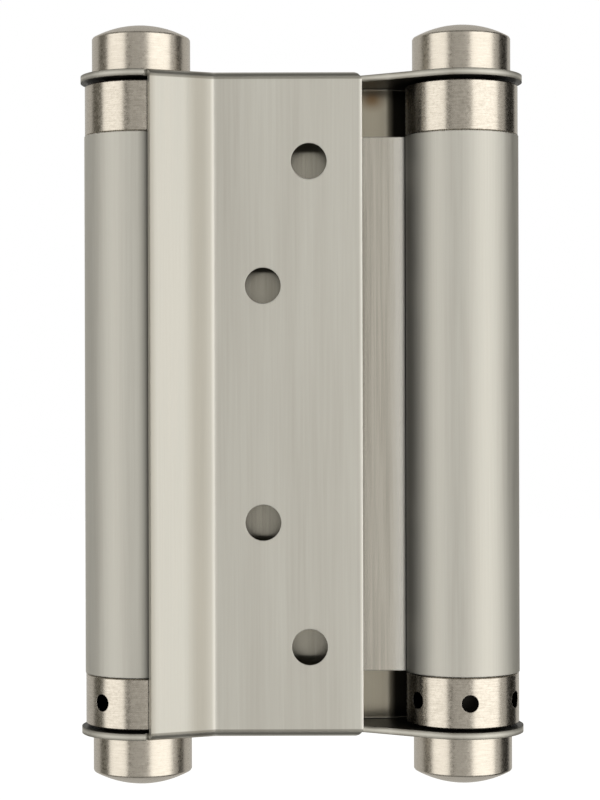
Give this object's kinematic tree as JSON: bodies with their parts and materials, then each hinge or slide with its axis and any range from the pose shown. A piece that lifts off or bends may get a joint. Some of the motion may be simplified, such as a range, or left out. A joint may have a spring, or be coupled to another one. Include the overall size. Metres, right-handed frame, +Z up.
{
  "type": "double action spring hinge",
  "caption": "Double action cafe door hinge: twin spring barrels rolled from one web, with a folded leaf swinging on each barrel, domed pin caps and adjusting collars.",
  "frame": {"origin": "midway between the two barrel axes, at half height", "axes": "+Z up along the pins, +X from the left barrel to the right one, the front leaf at -Y"},
  "size_m": [0.0674, 0.02, 0.1156],
  "materials": {
    "brushed_stainless_sheet": "brushed along its height",
    "turned_stainless": "fine turned, satin bright",
    "spring_steel": "oiled spring steel",
    "nylon": "black nylon"
  },
  "bodies": {
    "back_leaf": {"back_leaf": "brushed_stainless_sheet", "right_pintle": "turned_stainless", "right_top_cap": "turned_stainless", "right_bottom_cap": "turned_stainless", "right_bottom_washer": "nylon"},
    "centre": {"centre_web": "brushed_stainless_sheet", "left_top_collar": "turned_stainless", "right_top_collar": "turned_stainless", "left_spring": "spring_steel", "right_spring": "spring_steel", "left_top_washer": "nylon", "right_top_washer": "nylon"},
    "front_leaf": {"front_leaf": "brushed_stainless_sheet", "left_pintle": "turned_stainless", "left_top_cap": "turned_stainless", "left_bottom_cap": "turned_stainless", "left_bottom_washer": "nylon"},
    "left_adjuster": {"left_adjusting_collar": "turned_stainless"},
    "right_adjuster": {"right_adjusting_collar": "turned_stainless"}
  },
  "joints": [
    {"name": "right_barrel_swing", "type": "hinge", "parent": "back_leaf", "child": "centre", "pos_m": [0.0245, 0, 0], "axis": [0, 0, 1], "range_deg": [0, 180]},
    {"name": "left_barrel_swing", "type": "hinge", "parent": "centre", "child": "front_leaf", "pos_m": [-0.0245, 0, 0], "axis": [0, 0, -1], "range_deg": [0, 180]},
    {"name": "left_tension", "type": "hinge", "parent": "centre", "child": "left_adjuster", "pos_m": [-0.0245, 0, 0], "axis": [0, 0, -1], "range_deg": [0, 240], "stiffness_Nm_per_rad": 0.45, "deforming": ["left_spring"]},
    {"name": "right_tension", "type": "hinge", "parent": "centre", "child": "right_adjuster", "pos_m": [0.0245, 0, 0], "axis": [0, 0, -1], "range_deg": [0, 240], "stiffness_Nm_per_rad": 0.45, "deforming": ["right_spring"]}
  ]
}
